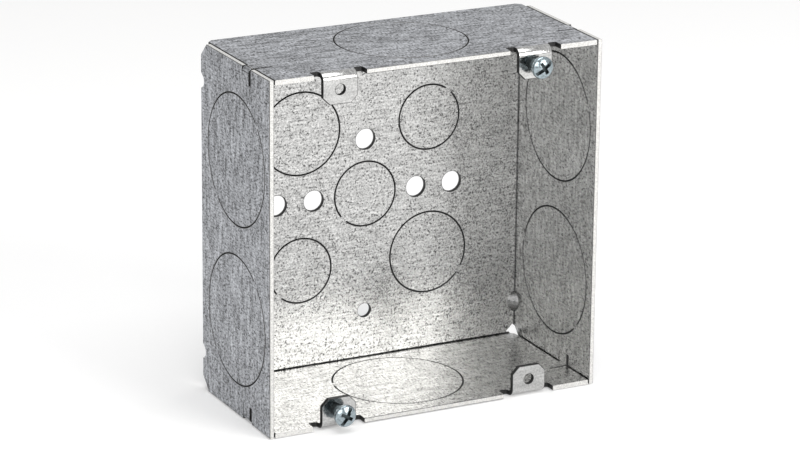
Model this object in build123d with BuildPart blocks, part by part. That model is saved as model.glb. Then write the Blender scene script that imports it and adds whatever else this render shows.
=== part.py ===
"""Square electrical box: one blank of galvanised sheet folded into a back, four walls and four ears,
with its knockouts still in place, and two cover screws.

Frame: X to the right, Y into the wall, Z up, origin in the middle of the back's outer face.
All sizes are in millimetres.
"""

import os
from math import sqrt

from build123d import *

# The box, outside, and the sheet that it is folded from
box_width = 119.06
box_height = 119.06
box_depth = 53.98
sheet = 1.59
bend_inside = 0.5
seam_gap = 0.35

# How far the blank is clipped at each back corner, along the edges from the sharp corner
side_corner_cut = 6.0
end_corner_cut = 5.2
back_corner_cut = 7.0

# Knockouts: diameters, places, the sheared line round each slug and the ties that hold it
wall_knockout = 44.04
large_knockout = 28.9
small_knockout = 22.9
side_knockout_spacing = 0.4536 * box_height
side_knockout_from_back = 0.53 * box_depth
end_knockout_from_back = 0.5 * box_depth
back_knockout_spacing_x = 0.4 * box_width
back_knockout_spacing_z = 0.4 * box_height
sheared_line = 0.4
tie_width = 2.6

# Plain holes for fixing screws and the threaded hole for the earth screw, all in the back
fixing_hole = 7.14
inner_fixing_spacing = 38.1
outer_fixing_spacing = 65.09
upper_fixing_height = 19.05
earth_hole = 4.8
earth_hole_drop = 41.28

# Ears folded in from the top and bottom walls, threaded for the cover screws
cover_hole_from_side = 24.605
cover_hole_from_end = 5.555
cover_thread_hole = 3.45
ear_width = 12.2
ear_length = 10.3
ear_tip_cut = 2.4
ear_bend_inside = 1.1
ear_relief_width = 3.2
ear_relief_round = 0.8

# Corner locks: a notch in the side wall's edge and a lug of the top or bottom wall folded into it
lock_from_front = 17.3
lock_width = 6.5
lock_height = 5.4
lug_width = 4.6
lug_slit_length = 6.0
lug_slit_width = 0.9

# Darts pressed across the side folds to stiffen them
dart_from_end = 13.0
dart_radius = 2.9
dart_depth = 1.9

# Cover screws: pan head with a slot and a cross recess, shank drawn at the core of its thread
thread_clearance = 0.1
screw_length = 9.53
head_standoff = 3.9
head_diameter = 7.4
head_height = 2.5
head_rim = 1.2
head_round = 0.6
slot_width = 1.2
slot_depth = 1.0
cross_length = 4.4
cross_width = 1.1
cross_depth = 1.5
shank_tip = 0.5
upper_screw_turn = 35.0
lower_screw_turn = 60.0

# Places that follow from the sizes
half_width = box_width / 2
half_height = box_height / 2
bend_outside = bend_inside + sheet
ear_bend_outside = ear_bend_inside + sheet
ear_relief_depth = ear_bend_outside + ear_relief_round + seam_gap
cover_spacing_x = box_width - 2 * cover_hole_from_side
cover_spacing_z = box_height - 2 * cover_hole_from_end
end_wall_half = half_width - sheet - seam_gap
lock_y = lock_from_front - box_depth
lug_front = lock_y + lock_width / 2 - seam_gap - lug_width

# Top wall with its back fold, ears and lugs; the bottom wall is its mirror image
with BuildPart() as end_wall:
    with BuildSketch(Plane.XY.offset(half_height - sheet)):
        with Locations((0, -bend_outside)):
            Rectangle(2 * end_wall_half, box_depth - bend_outside, align=(Align.CENTER, Align.MAX))
        with Locations((-cover_spacing_x / 2, -box_depth), (cover_spacing_x / 2, -box_depth)):
            Rectangle(ear_width, 2 * ear_bend_outside, mode=Mode.SUBTRACT)
            relief_x = (ear_width + ear_relief_width) / 2
            relief_size = (ear_relief_width, 2 * ear_relief_depth, ear_relief_round)
            with Locations((-relief_x, 0), (relief_x, 0)):
                RectangleRounded(*relief_size, mode=Mode.SUBTRACT)
        with Locations((-end_wall_half, lug_front), (end_wall_half, lug_front)):
            slit_align = (Align.CENTER, Align.MAX)
            Rectangle(2 * lug_slit_length, lug_slit_width, align=slit_align, mode=Mode.SUBTRACT)
    extrude(amount=sheet)
    # Fold to the back
    with BuildSketch(Plane.YZ):
        with Locations((-bend_outside, half_height - bend_outside)):
            Circle(bend_outside)
            Circle(bend_inside, mode=Mode.SUBTRACT)
            Rectangle(bend_outside, bend_outside, align=(Align.MIN, Align.MIN), mode=Mode.INTERSECT)
    extrude(amount=end_wall_half, both=True)
    with BuildSketch(Plane.XY.offset(half_height - bend_outside)):
        with Locations((-half_width, 0), (half_width, 0)):
            Rectangle(sqrt(2) * end_corner_cut, sqrt(2) * end_corner_cut, rotation=45)
    extrude(amount=bend_outside, mode=Mode.SUBTRACT)
    # Ears, folded down behind the front edge
    for ear_x in (-cover_spacing_x / 2, cover_spacing_x / 2):
        with BuildSketch(Plane.YZ.offset(ear_x)):
            with Locations((-box_depth + ear_bend_outside, half_height - ear_bend_outside)):
                Circle(ear_bend_outside)
                Circle(ear_bend_inside, mode=Mode.SUBTRACT)
                fold_align = (Align.MAX, Align.MIN)
                Rectangle(ear_bend_outside, ear_bend_outside, align=fold_align, mode=Mode.INTERSECT)
            with Locations((-box_depth, half_height - ear_bend_outside)):
                Rectangle(sheet, ear_length - ear_bend_outside, align=(Align.MIN, Align.MAX))
        extrude(amount=ear_width / 2, both=True)
    ear_tips = end_wall.edges().filter_by(Axis.Y).group_by(Axis.Z)[0]
    chamfer(ear_tips, ear_tip_cut)
    # Lugs that turn down into the notches of the side walls
    with BuildSketch(Plane.XZ.offset(-lug_front)):
        with BuildLine():
            Polyline(
                (end_wall_half, half_height),
                (half_width, half_height),
                (half_width, half_height - lock_height),
                (half_width - sheet, half_height - lock_height),
                (half_width - sheet, half_height - sheet),
                (end_wall_half, half_height - sheet),
                close=True,
            )
        lug_face = make_face()
        outward = Axis((0, 0, 0), (1, 1, 0))
        fillet(lug_face.vertices().sort_by(outward)[-1], sheet)
        mirror(about=Plane.YZ)
    extrude(amount=-lug_width)

# Right wall with its back fold and the notches of the corner locks; the left wall is its mirror image
with BuildPart() as side_wall:
    with BuildSketch(Plane.YZ.offset(half_width - sheet)):
        with Locations((-bend_outside, 0)):
            Rectangle(box_depth - bend_outside, box_height, align=(Align.MAX, Align.CENTER))
        with Locations((lock_y, -half_height), (lock_y, half_height)):
            Rectangle(lock_width, 2 * lock_height, mode=Mode.SUBTRACT)
    extrude(amount=sheet)
    with BuildSketch(Plane.XY):
        with Locations((half_width - bend_outside, -bend_outside)):
            Circle(bend_outside)
            Circle(bend_inside, mode=Mode.SUBTRACT)
            Rectangle(bend_outside, bend_outside, align=(Align.MIN, Align.MIN), mode=Mode.INTERSECT)
    extrude(amount=half_height, both=True)
    with BuildSketch(Plane.YZ.offset(half_width - bend_outside)):
        with Locations((0, -half_height), (0, half_height)):
            Rectangle(sqrt(2) * side_corner_cut, sqrt(2) * side_corner_cut, rotation=45)
    extrude(amount=bend_outside, mode=Mode.SUBTRACT)

# Darts: a rounded press tool driven at 45 degrees into each side fold, near its ends
dart_out = (dart_radius - dart_depth) / sqrt(2) - bend_outside * (1 - 1 / sqrt(2))
dart_plane = Plane(
    origin=(half_width + dart_out, dart_out, half_height - dart_from_end),
    x_dir=(0, 0, 1),
    z_dir=(1, -1, 0),
)
dart_reach = 4 * (dart_radius + sheet)
with BuildPart() as dart_dents:
    with BuildSketch(dart_plane):
        Circle(dart_radius)
    extrude(amount=dart_reach, both=True)
    mirror(about=Plane.YZ)
    mirror(about=Plane.XY)
with BuildPart() as dart_ridges:
    with BuildSketch(dart_plane):
        Circle(dart_radius + sheet)
    extrude(amount=dart_reach, both=True)
    with Locations((half_width - sheet, -sheet, half_height - dart_from_end)):
        corner_align = (Align.MAX, Align.MAX, Align.CENTER)
        Box(dart_reach, dart_reach, dart_reach, align=corner_align, mode=Mode.INTERSECT)
    mirror(about=Plane.YZ)
    mirror(about=Plane.XY)

# Knockouts: the plane of each lies on the outer face at its middle, then its diameter, then its ties
side_y = -side_knockout_from_back
side_z = side_knockout_spacing / 2
end_y = -end_knockout_from_back
back_x = back_knockout_spacing_x / 2
back_z = back_knockout_spacing_z / 2
left_face = {"x_dir": (0, -1, 0), "z_dir": (-1, 0, 0)}
right_face = {"x_dir": (0, 1, 0), "z_dir": (1, 0, 0)}
top_face = {"x_dir": (1, 0, 0), "z_dir": (0, 0, 1)}
bottom_face = {"x_dir": (1, 0, 0), "z_dir": (0, 0, -1)}
back_face = {"x_dir": (-1, 0, 0), "z_dir": (0, 1, 0)}
knockouts = [
    (Plane((-half_width, side_y, side_z), **left_face), wall_knockout, (225, 45)),
    (Plane((-half_width, side_y, -side_z), **left_face), wall_knockout, (225, 48)),
    (Plane((half_width, side_y, side_z), **right_face), wall_knockout, (158,)),
    (Plane((half_width, side_y, -side_z), **right_face), wall_knockout, (225, 15)),
    (Plane((0, end_y, half_height), **top_face), wall_knockout, (73,)),
    (Plane((0, end_y, -half_height), **bottom_face), wall_knockout, (195,)),
    (Plane((-back_x, 0, back_z), **back_face), large_knockout, (41,)),
    (Plane((back_x, 0, back_z), **back_face), small_knockout, (130,)),
    (Plane((0, 0, 0), **back_face), small_knockout, (315,)),
    (Plane((-back_x, 0, -back_z), **back_face), small_knockout, (315,)),
    (Plane((back_x, 0, -back_z), **back_face), large_knockout, (213,)),
]

# Each slug is sheared nearly all round, left level with its wall and held by its ties
with BuildPart() as slugs:
    for face_plane, diameter, ties in knockouts:
        slug_radius = diameter / 2 - sheared_line
        with BuildSketch(face_plane):
            Circle(slug_radius)
            for tie in ties:
                with PolarLocations(slug_radius, 1, start_angle=tie):
                    Rectangle(tie_width, tie_width)
        extrude(amount=-sheet)

# The whole folded body
with BuildPart() as box_body:
    with BuildSketch(Plane.XZ):
        Rectangle(box_width - 2 * bend_outside, box_height - 2 * bend_outside)
        clip_side = sqrt(2) * back_corner_cut
        with GridLocations(box_width, box_height, 2, 2):
            Rectangle(clip_side, clip_side, rotation=45, mode=Mode.SUBTRACT)
    extrude(amount=sheet)
    add(end_wall.part)
    mirror(end_wall.part, about=Plane.XY)
    add(side_wall.part)
    mirror(side_wall.part, about=Plane.YZ)
    add(dart_ridges.part)
    add(dart_dents.part, mode=Mode.SUBTRACT)
    for face_plane, diameter, _ in knockouts:
        with BuildSketch(face_plane):
            Circle(diameter / 2)
        extrude(amount=-sheet, mode=Mode.SUBTRACT)
    add(slugs.part)
    # Holes in the back
    with BuildSketch(Plane.XZ):
        with GridLocations(inner_fixing_spacing, 0, 2, 1):
            Circle(fixing_hole / 2)
        with GridLocations(outer_fixing_spacing, 0, 2, 1):
            Circle(fixing_hole / 2)
        with Locations((0, upper_fixing_height)):
            Circle(fixing_hole / 2)
        with Locations((0, -earth_hole_drop)):
            Circle(earth_hole / 2)
    extrude(amount=sheet, mode=Mode.SUBTRACT)
    # Threaded holes in the ears, at the core of the thread
    with BuildSketch(Plane.XZ.offset(box_depth)):
        with GridLocations(cover_spacing_x, cover_spacing_z, 2, 2):
            Circle(cover_thread_hole / 2)
    extrude(amount=-sheet, mode=Mode.SUBTRACT)

# One cover screw about the Z axis, with the front of its ear at Z = 0 and its head above
shank_radius = cover_thread_hole / 2 - thread_clearance
head_top = head_standoff + head_height
with BuildPart() as screw:
    with BuildSketch(Plane.XZ):
        with BuildLine():
            Polyline(
                (0, head_top),
                (0, head_standoff),
                (head_diameter / 2, head_standoff),
                (head_diameter / 2, head_standoff + head_rim),
            )
            dome_rise = head_height - head_rim
            dome_radius = ((head_diameter / 2) ** 2 + dome_rise**2) / (2 * dome_rise)
            RadiusArc((head_diameter / 2, head_standoff + head_rim), (0, head_top), -dome_radius)
        head_face = make_face()
        rim_corner = head_face.vertices().group_by(Axis.X)[-1].sort_by(Axis.Y)[-1]
        fillet(rim_corner, head_round)
    revolve(axis=Axis.Z)
    with BuildSketch(Plane.XY.offset(head_top)):
        Rectangle(head_diameter, slot_width)
    extrude(amount=-slot_depth, mode=Mode.SUBTRACT)
    with BuildSketch(Plane.XY.offset(head_top)):
        Rectangle(cross_length, cross_width)
        Rectangle(cross_width, cross_length)
    extrude(amount=-cross_depth, mode=Mode.SUBTRACT)
    with BuildSketch(Plane.XY.offset(head_standoff)):
        Circle(shank_radius)
    extrude(amount=-screw_length)
    chamfer(screw.edges().group_by(Axis.Z)[0], shank_tip)

# Both screws, in the upper right and the lower left ear
front_face = {"x_dir": (1, 0, 0), "z_dir": (0, -1, 0)}
upper_ear = Plane((cover_spacing_x / 2, -box_depth, cover_spacing_z / 2), **front_face)
lower_ear = Plane((-cover_spacing_x / 2, -box_depth, -cover_spacing_z / 2), **front_face)
with BuildPart() as cover_screws:
    with Locations(upper_ear):
        add(screw.part, rotation=(0, 0, upper_screw_turn))
    with Locations(lower_ear):
        add(screw.part, rotation=(0, 0, lower_screw_turn))

os.makedirs("parts", exist_ok=True)
box_body.part.label = "box_body"
export_step(box_body.part, "parts/box_body.step")
cover_screws.part.label = "cover_screws"
export_step(cover_screws.part, "parts/cover_screws.step")
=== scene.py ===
"""Looks of a square electrical box: galvanised body, plated cover screws, studio floor and light."""

import math

import bmesh
import bpy
from mathutils import Matrix, Vector


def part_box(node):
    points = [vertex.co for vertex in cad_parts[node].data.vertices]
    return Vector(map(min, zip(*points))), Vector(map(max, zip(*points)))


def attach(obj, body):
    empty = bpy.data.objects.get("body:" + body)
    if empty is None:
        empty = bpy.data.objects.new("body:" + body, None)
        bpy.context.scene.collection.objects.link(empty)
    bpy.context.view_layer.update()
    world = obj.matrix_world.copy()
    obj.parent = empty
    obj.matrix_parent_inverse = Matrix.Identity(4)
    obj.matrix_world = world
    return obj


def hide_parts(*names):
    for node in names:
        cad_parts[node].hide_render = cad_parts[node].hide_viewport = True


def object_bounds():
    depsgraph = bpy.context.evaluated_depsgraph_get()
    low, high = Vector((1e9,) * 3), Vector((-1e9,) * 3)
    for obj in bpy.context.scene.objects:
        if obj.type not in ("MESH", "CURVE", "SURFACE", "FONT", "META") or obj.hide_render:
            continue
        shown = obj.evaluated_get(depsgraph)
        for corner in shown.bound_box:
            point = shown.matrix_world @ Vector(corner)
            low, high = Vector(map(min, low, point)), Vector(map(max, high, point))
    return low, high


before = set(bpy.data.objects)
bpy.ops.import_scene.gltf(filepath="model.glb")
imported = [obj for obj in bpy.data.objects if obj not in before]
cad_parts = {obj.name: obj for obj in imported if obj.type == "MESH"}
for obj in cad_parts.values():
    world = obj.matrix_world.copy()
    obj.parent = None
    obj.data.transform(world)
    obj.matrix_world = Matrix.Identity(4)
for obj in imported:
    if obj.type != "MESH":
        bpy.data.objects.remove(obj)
cad_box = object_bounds()


# Box body: one blank of galvanised sheet steel, pierced flat, then folded into a back, walls and ears.
# Its zinc coat is satin grey with a fine dark grain. The front rims are bright bare steel. The pierced
# edges are painted near black, as painted shade in the holes, slots and seams, and the lines where the
# coat meets a cut are slightly rounded and painted dark grey, as a painted shade line along each edge.
body_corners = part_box("box_body")
body_middle = (body_corners[0] + body_corners[1]) / 2
front = body_corners[0].y
half_width = body_corners[1].x
half_height = body_corners[1].z
sheet = 0.00159
seam_gap = 0.00035
half_inside = half_width - sheet
seam_x = half_inside - seam_gap
seam_shortest = 0.004
fold_start = -0.0022
fold_clear = 0.001
near = 1e-5
merge_gap = 1e-6

# Ears and the holes in the back
cover_hole_x = half_width - 0.024605
cover_hole_z = half_height - 0.005555
ear_places = [(x, z) for x in (-cover_hole_x, cover_hole_x) for z in (-cover_hole_z, cover_hole_z)]
ear_reach_x = 0.0065
ear_reach_z = 0.0075
ear_fold = 0.0028
inner_fixing_x = 0.01905
outer_fixing_x = 0.032545
upper_fixing_z = 0.01905
earth_hole_z = -0.04128
hole_places = [(x, 0.0) for x in (-outer_fixing_x, -inner_fixing_x, inner_fixing_x, outer_fixing_x)]
hole_places += [(0.0, upper_fixing_z), (0.0, earth_hole_z)]
hole_reach = 0.0038

# Knockouts: the middles of their slugs, the way they face and their radius
wall_slug = 0.02202
large_slug = 0.01445
small_slug = 0.01145
slug_reach = 0.0009
wall_middle = half_width - sheet / 2
back_middle = -sheet / 2
side_y = 0.53 * front
side_z = 0.4536 * half_height
end_y = 0.5 * front
back_x = 0.4 * half_width
back_z = 0.4 * half_height
side_places = [(x, side_y, z) for x in (-wall_middle, wall_middle) for z in (-side_z, side_z)]
end_places = [(0.0, end_y, -wall_middle), (0.0, end_y, wall_middle)]
large_places = [(-back_x, back_middle, back_z), (back_x, back_middle, -back_z)]
small_places = [(back_x, back_middle, back_z), (0.0, back_middle, 0.0), (-back_x, back_middle, -back_z)]
knockouts = [
    (side_places, (1.0, 0.0, 0.0), wall_slug),
    (end_places, (0.0, 0.0, 1.0), wall_slug),
    (large_places, (0.0, 1.0, 0.0), large_slug),
    (small_places, (0.0, 1.0, 0.0), small_slug),
]

# Darts across the side folds
dart_z = half_height - 0.013
dart_reach = 0.0046
dart_half = 0.0027
dart_x = 0.052
dart_y = -0.008

# Rounding of the cut edges, and the angles and slopes that tell them from walls and folds
edge_round = 0.0002
punch_round = 0.0002
slug_round = 0.00013
shortest_worn = 0.0005
flat_angle = 0.005
curved_angle = 0.6
sharp_angle = math.radians(35)
cut_angle = 1.2
runs_along = 0.3
square_on = 0.99
flat_wall = 0.9985

# Greys of the coat and of the bare steel, and the grain, roll lines and specks in them
inside_grey = (0.52, 0.52, 0.515)
# The outer faces are painted a darker grey than the inner faces of the same sheet: painted shade on the
# outside of the box
shaded_outside_grey = (0.372, 0.381, 0.401)
# Near black of the inner faces of the back folds: painted shade in the creases
crease_shade_grey = (0.13, 0.13, 0.13)
bare_steel = (0.68, 0.675, 0.66)
# Dark grey of the rounded cut edges: a painted shade line along each edge
edge_shade_grey = (0.2, 0.2, 0.2)
# Near black of the pierced edges: painted shade in the holes, slots, seams and knockout lines
pierced_shade_grey = (0.06, 0.06, 0.06)
grain_per_metre = (1700.0, 800.0, 1700.0)
cloud_per_metre = (70.0, 70.0, 70.0)
lines_along_x = (130.0, 620.0, 1500.0)
lines_along_z = (1500.0, 700.0, 150.0)
specks_per_metre = (1500.0, 850.0, 1500.0)
tears_per_metre = (2200.0, 2200.0, 2200.0)
side_facing = 0.7
speck_start = 0.575
speck_steepness = 9.0
cloud_depth = 0.3
darkest_tone = 0.25
grain_dullness = 0.25
cloud_dullness = 0.1
relief_strength = 0.3
relief_height = 0.00004
cut_roughness = 0.55
tear_dullness = 0.4


def combine(tree, operation, first, second=None):
    node = tree.nodes.new("ShaderNodeMath")
    node.operation = operation
    for socket, value in zip(node.inputs, (first, second)):
        if isinstance(value, bpy.types.NodeSocket):
            tree.links.new(value, socket)
        elif value is not None:
            socket.default_value = value
    return node.outputs[0]


def swing(tree, value, strength):
    return combine(tree, "MULTIPLY", combine(tree, "SUBTRACT", value, 0.5), strength)


def mottle(tree, place, per_metre, detail):
    spread = tree.nodes.new("ShaderNodeMapping")
    spread.inputs["Scale"].default_value = per_metre
    tree.links.new(place, spread.inputs["Vector"])
    noise = tree.nodes.new("ShaderNodeTexNoise")
    noise.inputs["Scale"].default_value = 1.0
    noise.inputs["Detail"].default_value = detail
    tree.links.new(spread.outputs[0], noise.inputs["Vector"])
    return noise.outputs["Fac"]


def tint(tree, colour, tone, shader):
    shade = tree.nodes.new("ShaderNodeVectorMath")
    shade.operation = "SCALE"
    shade.inputs[0].default_value = colour
    tree.links.new(tone, shade.inputs["Scale"])
    tree.links.new(shade.outputs[0], shader.inputs["Base Color"])


def plain_metal(name):
    material = bpy.data.materials.new(name)
    material.use_nodes = True
    shader = material.node_tree.nodes["Principled BSDF"]
    shader.inputs["Metallic"].default_value = 1.0
    return material, material.node_tree, shader


def galvanised_coat(name, grey, roughness, grain_depth, line_depth, speck_depth):
    material, tree, shader = plain_metal(name)
    where = tree.nodes.new("ShaderNodeTexCoord")
    place = where.outputs["Object"]
    grain = mottle(tree, place, grain_per_metre, 2.0)
    cloud = mottle(tree, place, cloud_per_metre, 4.0)
    # Roll lines run along X on the back, top and bottom, and along Z on the side walls
    facing = tree.nodes.new("ShaderNodeSeparateXYZ")
    tree.links.new(where.outputs["Normal"], facing.inputs[0])
    sideways = combine(tree, "ABSOLUTE", facing.outputs["X"])
    roll_lines = tree.nodes.new("ShaderNodeMix")
    tree.links.new(combine(tree, "GREATER_THAN", sideways, side_facing), roll_lines.inputs["Factor"])
    tree.links.new(mottle(tree, place, lines_along_x, 1.0), roll_lines.inputs["A"])
    tree.links.new(mottle(tree, place, lines_along_z, 1.0), roll_lines.inputs["B"])
    lines = roll_lines.outputs["Result"]
    # Dull specks in the coat, ragged and of many sizes
    speck = combine(tree, "SUBTRACT", mottle(tree, place, specks_per_metre, 4.0), speck_start)
    speck = combine(tree, "MULTIPLY", combine(tree, "MAXIMUM", speck, 0.0), speck_steepness)
    speck = combine(tree, "MULTIPLY", combine(tree, "MINIMUM", speck, 1.0), speck_depth)
    # Tone, dullness and relief of the coat
    tone = combine(tree, "ADD", 1.0, swing(tree, grain, grain_depth))
    tone = combine(tree, "ADD", tone, swing(tree, cloud, cloud_depth))
    tone = combine(tree, "ADD", tone, swing(tree, lines, line_depth))
    tone = combine(tree, "SUBTRACT", tone, speck)
    tint(tree, grey, combine(tree, "MAXIMUM", tone, darkest_tone), shader)
    dullness = combine(tree, "ADD", roughness, swing(tree, grain, grain_dullness))
    dullness = combine(tree, "ADD", dullness, swing(tree, cloud, cloud_dullness))
    tree.links.new(dullness, shader.inputs["Roughness"])
    relief = combine(tree, "SUBTRACT", combine(tree, "ADD", grain, lines), speck)
    bump = tree.nodes.new("ShaderNodeBump")
    bump.inputs["Strength"].default_value = relief_strength
    bump.inputs["Distance"].default_value = relief_height
    tree.links.new(relief, bump.inputs["Height"])
    tree.links.new(bump.outputs[0], shader.inputs["Normal"])
    return material


def sheared_edge(name, colour):
    material, tree, shader = plain_metal(name)
    place = tree.nodes.new("ShaderNodeTexCoord").outputs["Object"]
    tears = mottle(tree, place, tears_per_metre, 2.0)
    tint(tree, colour, combine(tree, "ADD", 1.0, swing(tree, tears, 1.0)), shader)
    dullness = combine(tree, "ADD", cut_roughness, swing(tree, tears, tear_dullness))
    tree.links.new(dullness, shader.inputs["Roughness"])
    return material


# After its grey, each coat has its roughness and the depth of its grain, roll lines and specks
inside, outside, rim, shaded_cut, ear, shaded_edge_line, shaded_crease = range(7)
finishes = [
    galvanised_coat("galvanised_inside", inside_grey, 0.29, 2.0, 1.0, 1.2),
    galvanised_coat("galvanised_outside", shaded_outside_grey, 0.52, 2.6, 1.5, 1.35),
    sheared_edge("sheared_rim", bare_steel),
    sheared_edge("pierced_edge_shade", pierced_shade_grey),
    galvanised_coat("galvanised_ear", inside_grey, 0.15, 1.0, 0.5, 0.15),
    sheared_edge("edge_shade_line", edge_shade_grey),
    galvanised_coat("galvanised_crease_shade", crease_shade_grey, 0.4, 2.0, 0.8, 0.3),
]


def finish_of(face):
    middle = face.calc_center_median()
    normal = face.normal
    slanted = max(abs(value) for value in normal) < square_on
    runs_x, runs_y, runs_z = [abs(value) < runs_along for value in normal]
    outermost = max(abs(middle.x), abs(middle.z))
    along_end = abs(middle.z) > abs(middle.x)
    in_side = abs(middle.x) > half_inside - near and middle.y < fold_start
    in_end = abs(middle.z) > half_inside - near and middle.y < fold_start
    in_ear = middle.y < front + sheet + near and not in_end and not in_side
    in_back = middle.y > -sheet - near and outermost < half_inside - fold_clear
    in_fold = middle.y >= fold_start and outermost > half_width + fold_start
    from_dart = abs(abs(middle.z) - dart_z)
    cut_through = (
        (in_side and runs_x)
        or (in_end and runs_z and abs(normal.x) + abs(normal.y) > square_on)
        or (runs_y and (in_back or in_ear))
        or (in_fold and along_end and not runs_x)
        or (in_fold and not along_end and not runs_z and from_dart >= dart_reach)
    )
    # Cut faces take bright bare steel at the front rims and the near black painted shade everywhere else
    if cut_through:
        at_front = normal.y < -square_on and middle.y < front + near
        at_side_end = in_side and abs(middle.z) > half_height - near
        return rim if at_front or at_side_end else shaded_cut
    in_dart = abs(middle.x) > dart_x and middle.y > dart_y and from_dart < dart_half
    by_ear = middle.y < front + ear_fold and any(
        abs(middle.x - x) < ear_reach_x and abs(middle.z - z) < ear_reach_z for x, z in ear_places
    )
    if by_ear or (in_dart and slanted):
        return ear
    faces_in = normal.dot(middle - body_middle) < 0
    # The inner faces of the back folds take the near black coat, painted shade in the creases
    if faces_in and fold_start < middle.y < -sheet - near and outermost < half_inside - near:
        return shaded_crease
    return inside if faces_in else outside


body_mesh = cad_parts["box_body"].data.copy()
body_mesh.name = "folded_body"
body_mesh.materials.clear()
for finish in finishes:
    body_mesh.materials.append(finish)
blank = bmesh.new()
blank.from_mesh(body_mesh)
bmesh.ops.remove_doubles(blank, verts=blank.verts, dist=merge_gap)
for face in blank.faces:
    face.material_index = finish_of(face)

# The triangles of each flat cut are joined, so that its edges are rounded evenly
flat_cuts = []
for edge in blank.edges:
    sides = {face.material_index for face in edge.link_faces}
    if sides in ({rim}, {shaded_cut}) and edge.calc_face_angle(0.0) < flat_angle:
        flat_cuts.append(edge)
bmesh.ops.dissolve_edges(blank, edges=flat_cuts, use_verts=False)

# Edges that the punch rounds: holes, seams and ears, whose rounding is painted near black as painted
# shade, and more finely the lines round the slugs, whose rounding is painted dark grey as a painted
# shade line
punched = []
sheared = []
for edge in blank.edges:
    sides = sorted(face.material_index for face in edge.link_faces)
    if shaded_cut not in sides or edge.calc_face_angle(0.0) < cut_angle:
        continue
    start, end = [vert.co for vert in edge.verts]
    middle = (start + end) / 2
    in_hole = any(math.hypot(middle.x - x, middle.z - z) < hole_reach for x, z in hole_places)
    in_hole = in_hole and middle.y > -sheet - near
    by_seam = abs(abs(middle.x) - seam_x) < near and abs(start.y - end.y) > seam_shortest
    by_slug = any(
        abs((middle - Vector(place)).length - radius) < slug_reach
        for places, _, radius in knockouts
        for place in places
    )
    if by_slug:
        sheared.append(edge)
    elif in_hole or by_seam or sides == [shaded_cut, ear]:
        punched.append(edge)
for edges, rounding, finish in ((punched, punch_round, shaded_cut), (sheared, slug_round, shaded_edge_line)):
    bmesh.ops.bevel(
        blank, geom=edges, offset=rounding, segments=3, profile=0.5, affect="EDGES",
        material=finish, clamp_overlap=False,
    )

# Edges worn round: each line where the coat meets a cut, unless it ends in a step too short to wear
worn = blank.edges.layers.float.new("bevel_weight_edge")
sharp = [edge for edge in blank.edges if edge.calc_face_angle(0.0) > sharp_angle]
stepped = {vert for edge in sharp if edge.calc_length() < shortest_worn for vert in edge.verts}
for edge in sharp:
    middle = (edge.verts[0].co + edge.verts[1].co) / 2
    by_dart = abs(middle.x) > dart_x and middle.y > dart_y and abs(abs(middle.z) - dart_z) < dart_reach
    cut_sides = sum(face.material_index in (rim, shaded_cut) for face in edge.link_faces)
    edge[worn] = float(cut_sides == 1 and not by_dart and stepped.isdisjoint(edge.verts))
    edge.smooth = not by_dart
for face in blank.faces:
    curved = any(flat_angle < edge.calc_face_angle(0.0) < curved_angle for edge in face.edges)
    face.smooth = curved and max(abs(value) for value in face.normal) <= flat_wall
blank.to_mesh(body_mesh)
blank.free()

folded_body = bpy.data.objects.new("folded_body", body_mesh)
bpy.context.scene.collection.objects.link(folded_body)
# The rounding takes the dark grey edge colour, a painted shade line along each edge where the coat meets
# a cut
wear_and_shade_line = folded_body.modifiers.new("wear_and_shade_line", "BEVEL")
wear_and_shade_line.width = edge_round
wear_and_shade_line.segments = 2
wear_and_shade_line.limit_method = "WEIGHT"
wear_and_shade_line.use_clamp_overlap = False
wear_and_shade_line.material = shaded_edge_line
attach(folded_body, "root")
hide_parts("box_body")


# Torn edges: the part of each knockout's sheared line, halfway through the sheet, where the steel tears.
# The rough ring that is left there closes the line, so no light shows through it round the slug. It is
# painted near black, as painted shade in the line.
sheared_line = 0.0004
torn_overlap = 1.1
ring_steps = 96


def torn_edge(torn_steel_shade):
    tree = bpy.data.node_groups.new("torn_edge", "GeometryNodeTree")
    tree.interface.new_socket("Slugs", in_out="INPUT", socket_type="NodeSocketGeometry")
    for name, kind in (("Radius", "Float"), ("Line", "Float"), ("Facing", "Vector")):
        tree.interface.new_socket(name, in_out="INPUT", socket_type="NodeSocket" + kind)
    tree.interface.new_socket("Edges", in_out="OUTPUT", socket_type="NodeSocketGeometry")
    given = tree.nodes.new("NodeGroupInput")
    ring = tree.nodes.new("GeometryNodeCurvePrimitiveCircle")
    ring.inputs["Resolution"].default_value = ring_steps
    half_line = combine(tree, "MULTIPLY", given.outputs["Line"], 0.5)
    tree.links.new(combine(tree, "SUBTRACT", given.outputs["Radius"], half_line), ring.inputs["Radius"])
    strip = tree.nodes.new("GeometryNodeCurvePrimitiveQuadrilateral")
    width = combine(tree, "MULTIPLY", given.outputs["Line"], torn_overlap)
    tree.links.new(width, strip.inputs["Width"])
    tree.links.new(width, strip.inputs["Height"])
    wrap = tree.nodes.new("GeometryNodeCurveToMesh")
    tree.links.new(ring.outputs[0], wrap.inputs["Curve"])
    tree.links.new(strip.outputs[0], wrap.inputs["Profile Curve"])
    turn = tree.nodes.new("FunctionNodeAlignRotationToVector")
    turn.axis = "Z"
    tree.links.new(given.outputs["Facing"], turn.inputs["Vector"])
    each = tree.nodes.new("GeometryNodeInstanceOnPoints")
    tree.links.new(given.outputs["Slugs"], each.inputs["Points"])
    tree.links.new(wrap.outputs[0], each.inputs["Instance"])
    tree.links.new(turn.outputs[0], each.inputs["Rotation"])
    real = tree.nodes.new("GeometryNodeRealizeInstances")
    tree.links.new(each.outputs[0], real.inputs[0])
    finish = tree.nodes.new("GeometryNodeSetMaterial")
    finish.inputs["Material"].default_value = torn_steel_shade
    tree.links.new(real.outputs[0], finish.inputs["Geometry"])
    tree.links.new(finish.outputs[0], tree.nodes.new("NodeGroupOutput").inputs[0])
    return tree


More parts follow.
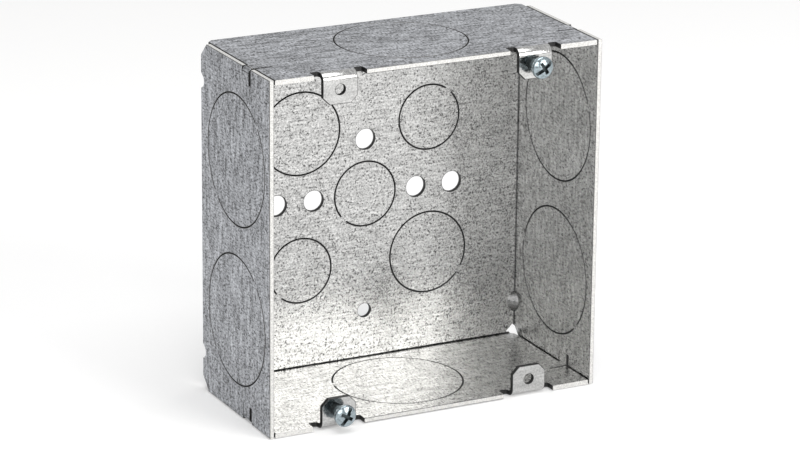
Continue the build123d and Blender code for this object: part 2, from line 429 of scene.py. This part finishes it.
torn_steel_shade = sheared_edge("torn_edge", pierced_shade_grey)
torn_tree = torn_edge(torn_steel_shade)
torn_sockets = {item.name: item.identifier for item in torn_tree.interface.items_tree}
torn_lines = bmesh.new()
for places, facing, radius in knockouts:
    slug_mesh = bpy.data.meshes.new("slug_places")
    slug_mesh.from_pydata(places, [], [])
    slugs = bpy.data.objects.new("slug_places", slug_mesh)
    bpy.context.scene.collection.objects.link(slugs)
    tearing = slugs.modifiers.new("torn_edge", "NODES")
    tearing.node_group = torn_tree
    tearing[torn_sockets["Radius"]] = radius
    tearing[torn_sockets["Line"]] = sheared_line
    tearing[torn_sockets["Facing"]] = facing
    ready = bpy.context.evaluated_depsgraph_get()
    torn_lines.from_mesh(bpy.data.meshes.new_from_object(slugs.evaluated_get(ready), depsgraph=ready))
    bpy.data.objects.remove(slugs)
bmesh.ops.recalc_face_normals(torn_lines, faces=torn_lines.faces)
torn_mesh = bpy.data.meshes.new("torn_edges")
torn_lines.to_mesh(torn_mesh)
torn_lines.free()
torn_mesh.materials.append(torn_steel_shade)
torn_edges = bpy.data.objects.new("torn_edges", torn_mesh)
bpy.context.scene.collection.objects.link(torn_edges)
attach(torn_edges, "root")
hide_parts("box_body")


# Cover screws: two zinc plated steel machine screws, cold headed with a slot and a cross recess.
# Their thread is rolled. They are turned into the upper right and the lower left ear and stand a few
# turns proud.
head_height = 0.0025
head_under = front - 0.0039
head_top = head_under - head_height
screw_tip = head_under + 0.00953
thread_start = screw_tip - 0.0004
thread_sizes = {"Core Radius": 0.00166, "Ridge": 0.00039, "Pitch": 0.000794, "Length": 0.0091}
thread_steps = 24
ridge_sides = 4
thinnest_ridge = 0.1
recess_reach = 0.0035
recess_floor = head_top + 0.0009
recess_end = head_under - 0.0001
steep = 0.5
level = 0.999
head_edge_angle = 0.6
head_edge_round = 0.00008
zinc_blue = (0.33, 0.39, 0.42)
recess_shade = (0.07, 0.085, 0.09)
plate_roughness = 0.16
recess_roughness = 0.4
haze_per_metre = (1500.0, 1500.0, 1500.0)
haze_depth = 1.6
haze_dullness = 0.2


def zinc_plate(name, colour, roughness):
    material, tree, shader = plain_metal(name)
    place = tree.nodes.new("ShaderNodeTexCoord").outputs["Object"]
    haze = mottle(tree, place, haze_per_metre, 3.0)
    tint(tree, colour, combine(tree, "ADD", 1.0, swing(tree, haze, haze_depth)), shader)
    dullness = combine(tree, "ADD", roughness, swing(tree, haze, haze_dullness))
    tree.links.new(dullness, shader.inputs["Roughness"])
    return material


def rolled_thread(zinc):
    tree = bpy.data.node_groups.new("rolled_thread", "GeometryNodeTree")
    tree.interface.new_socket("Screws", in_out="INPUT", socket_type="NodeSocketGeometry")
    for name in thread_sizes:
        tree.interface.new_socket(name, in_out="INPUT", socket_type="NodeSocketFloat")
    tree.interface.new_socket("Threads", in_out="OUTPUT", socket_type="NodeSocketGeometry")
    given = tree.nodes.new("NodeGroupInput")
    turns = combine(tree, "DIVIDE", given.outputs["Length"], given.outputs["Pitch"])
    helix = tree.nodes.new("GeometryNodeCurveSpiral")
    helix.inputs["Resolution"].default_value = thread_steps
    tree.links.new(turns, helix.inputs["Rotations"])
    tree.links.new(given.outputs["Core Radius"], helix.inputs["Start Radius"])
    tree.links.new(given.outputs["Core Radius"], helix.inputs["End Radius"])
    tree.links.new(given.outputs["Length"], helix.inputs["Height"])
    upright = tree.nodes.new("GeometryNodeSetCurveNormal")
    upright.mode = "Z_UP"
    tree.links.new(helix.outputs[0], upright.inputs["Curve"])
    # The ridge runs out to nearly nothing over its last turn at each end
    along = tree.nodes.new("GeometryNodeSplineParameter").outputs["Factor"]
    from_end = combine(tree, "MINIMUM", along, combine(tree, "SUBTRACT", 1.0, along))
    run_out = combine(tree, "MAXIMUM", combine(tree, "MULTIPLY", from_end, turns), thinnest_ridge)
    swell = tree.nodes.new("GeometryNodeSetCurveRadius")
    tree.links.new(upright.outputs[0], swell.inputs["Curve"])
    tree.links.new(combine(tree, "MINIMUM", run_out, 1.0), swell.inputs["Radius"])
    ridge = tree.nodes.new("GeometryNodeCurvePrimitiveCircle")
    ridge.inputs["Resolution"].default_value = ridge_sides
    tree.links.new(given.outputs["Ridge"], ridge.inputs["Radius"])
    wrap = tree.nodes.new("GeometryNodeCurveToMesh")
    wrap.inputs["Fill Caps"].default_value = True
    tree.links.new(swell.outputs[0], wrap.inputs["Curve"])
    tree.links.new(ridge.outputs[0], wrap.inputs["Profile Curve"])
    tree.links.new(tree.nodes.new("GeometryNodeInputRadius").outputs[0], wrap.inputs["Scale"])
    each = tree.nodes.new("GeometryNodeInstanceOnPoints")
    each.inputs["Rotation"].default_value = (math.pi / 2, 0, 0)
    tree.links.new(given.outputs["Screws"], each.inputs["Points"])
    tree.links.new(wrap.outputs[0], each.inputs["Instance"])
    real = tree.nodes.new("GeometryNodeRealizeInstances")
    tree.links.new(each.outputs[0], real.inputs[0])
    plated = tree.nodes.new("GeometryNodeSetMaterial")
    plated.inputs["Material"].default_value = zinc
    tree.links.new(real.outputs[0], plated.inputs["Geometry"])
    tree.links.new(plated.outputs[0], tree.nodes.new("NodeGroupOutput").inputs[0])
    return tree


zinc = zinc_plate("zinc_plate", zinc_blue, plate_roughness)
start_places = [(cover_hole_x, thread_start, cover_hole_z), (-cover_hole_x, thread_start, -cover_hole_z)]
start_mesh = bpy.data.meshes.new("thread_starts")
start_mesh.from_pydata(start_places, [], [])
thread_starts = bpy.data.objects.new("thread_starts", start_mesh)
bpy.context.scene.collection.objects.link(thread_starts)
threading = thread_starts.modifiers.new("rolled_thread", "NODES")
threading.node_group = rolled_thread(zinc)
for item in threading.node_group.interface.items_tree:
    if item.name in thread_sizes:
        threading[item.identifier] = thread_sizes[item.name]
ready = bpy.context.evaluated_depsgraph_get()
thread_mesh = bpy.data.meshes.new_from_object(thread_starts.evaluated_get(ready), depsgraph=ready)
bpy.data.objects.remove(thread_starts)

screw_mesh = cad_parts["cover_screws"].data.copy()
screw_mesh.name = "cover_screws_plated"
screw_mesh.materials.clear()
screw_mesh.materials.append(zinc)
screw_mesh.materials.append(zinc_plate("zinc_recess", recess_shade, recess_roughness))
plate, recess = range(2)
headed = bmesh.new()
headed.from_mesh(screw_mesh)
bmesh.ops.remove_doubles(headed, verts=headed.verts, dist=merge_gap)
for face in headed.faces:
    middle = face.calc_center_median()
    side = math.copysign(1.0, middle.x)
    from_axis = math.hypot(middle.x - side * cover_hole_x, middle.z - side * cover_hole_z)
    in_head = middle.y < recess_end and from_axis < recess_reach
    sunk_wall = abs(face.normal.y) < steep
    sunk_floor = face.normal.y < -level and middle.y > recess_floor
    face.material_index = recess if in_head and (sunk_wall or sunk_floor) else plate
head_edges = []
for edge in headed.edges:
    by_plate = any(face.material_index == plate for face in edge.link_faces)
    if by_plate and edge.is_convex and edge.calc_face_angle(0.0) > head_edge_angle:
        head_edges.append(edge)
bmesh.ops.bevel(
    headed, geom=head_edges, offset=head_edge_round, segments=2, profile=0.5, affect="EDGES",
    clamp_overlap=False,
)
headed.from_mesh(thread_mesh)
for face in headed.faces:
    face.smooth = True
for edge in headed.edges:
    edge.smooth = len(edge.link_faces) == 2 and edge.calc_face_angle(0.0) < sharp_angle
headed.to_mesh(screw_mesh)
headed.free()
plated_screws = bpy.data.objects.new("plated_screws", screw_mesh)
bpy.context.scene.collection.objects.link(plated_screws)
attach(plated_screws, "root")
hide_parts("cover_screws")


# Studio: a plain pale floor and an even white room, with soft lamps above, in front and by the camera.
# Camera, reflected and transmitted rays see the white of the floor and room.
floor_half = 4.0
floor_drop = 0.0003
floor_level = cad_box[0].z - floor_drop
floor_white = (0.85, 0.85, 0.85, 1.0)
floor_glow = 0.21
room_colour = (1.0, 1.0, 1.0, 1.0)
room_light = 0.4
room_white = 0.75


def seen_directly(tree):
    path = tree.nodes.new("ShaderNodeLightPath").outputs
    seen = combine(tree, "MAXIMUM", path["Is Camera Ray"], path["Is Glossy Ray"])
    return combine(tree, "MAXIMUM", seen, path["Is Transmission Ray"])


def soft_lamp(name, place, width, height, radiance, colour):
    data = bpy.data.lights.new(name, "AREA")
    data.shape = "RECTANGLE"
    data.size = width
    data.size_y = height
    data.energy = radiance * math.pi * width * height
    data.color = colour
    lamp = bpy.data.objects.new(name, data)
    bpy.context.scene.collection.objects.link(lamp)
    lamp.location = place
    lamp.rotation_euler = (-Vector(place)).to_track_quat("-Z", "Y").to_euler()
    lamp.visible_camera = False


floor_mesh = bpy.data.meshes.new("floor")
floor_sides = [(-1, -1), (1, -1), (1, 1), (-1, 1)]
floor_corners = [(x * floor_half, y * floor_half, floor_level) for x, y in floor_sides]
floor_mesh.from_pydata(floor_corners, [], [(0, 1, 2, 3)])
floor = bpy.data.objects.new("floor", floor_mesh)
bpy.context.scene.collection.objects.link(floor)
paper = bpy.data.materials.new("floor_paper")
paper.use_nodes = True
paper_tree = paper.node_tree
paper_tree.nodes.clear()
matt = paper_tree.nodes.new("ShaderNodeBsdfDiffuse")
matt.inputs["Color"].default_value = floor_white
glow = paper_tree.nodes.new("ShaderNodeEmission")
glow_seen = combine(paper_tree, "MULTIPLY", seen_directly(paper_tree), floor_glow)
paper_tree.links.new(glow_seen, glow.inputs["Strength"])
both = paper_tree.nodes.new("ShaderNodeAddShader")
paper_tree.links.new(matt.outputs[0], both.inputs[0])
paper_tree.links.new(glow.outputs[0], both.inputs[1])
paper_surface = paper_tree.nodes.new("ShaderNodeOutputMaterial").inputs["Surface"]
paper_tree.links.new(both.outputs[0], paper_surface)
floor_mesh.materials.append(paper)

room = bpy.data.worlds.new("room")
bpy.context.scene.world = room
room.use_nodes = True
room_tree = room.node_tree
backdrop = room_tree.nodes["Background"]
backdrop.inputs["Color"].default_value = room_colour
room_lift = combine(room_tree, "MULTIPLY", seen_directly(room_tree), room_white - room_light)
room_tree.links.new(combine(room_tree, "ADD", room_lift, room_light), backdrop.inputs["Strength"])

# After its place, each lamp has its width, height, radiance and colour
soft_lamp("front_lamp", (0.56, -1.23, 0.55), 0.7, 0.7, 5.4, (1.0, 0.985, 0.955))
soft_lamp("camera_lamp", (-0.72, -1.42, 0.55), 0.9, 0.8, 2.7, (1.0, 0.99, 0.97))
soft_lamp("top_lamp", (0.0, -0.25, 1.3), 1.1, 1.1, 3.0, (1.0, 1.0, 1.0))


# Camera: a long lens at the photograph's viewing angle, in front of the box to the left and above.
# It is aimed a little beside the middle of the box and rolled by about half a degree to match it.
azimuth = math.radians(27.08)
elevation = math.radians(18.08)
roll = math.radians(0.58)
distance = 1.229
lens = 165.2
aim = Vector((0.0095, -0.0090, -0.0114))
level_share = math.cos(elevation)
back = Vector((-math.sin(azimuth) * level_share, -math.cos(azimuth) * level_share, math.sin(elevation)))
camera_data = bpy.data.cameras.new("camera")
camera_data.lens = lens
camera = bpy.data.objects.new("camera", camera_data)
bpy.context.scene.collection.objects.link(camera)
turn = (-back).to_track_quat("-Z", "Y").to_matrix().to_4x4() @ Matrix.Rotation(roll, 4, "Z")
camera.matrix_world = Matrix.Translation(aim + back * distance) @ turn
bpy.context.scene.camera = camera
bpy.context.scene.view_settings.view_transform = "Standard"
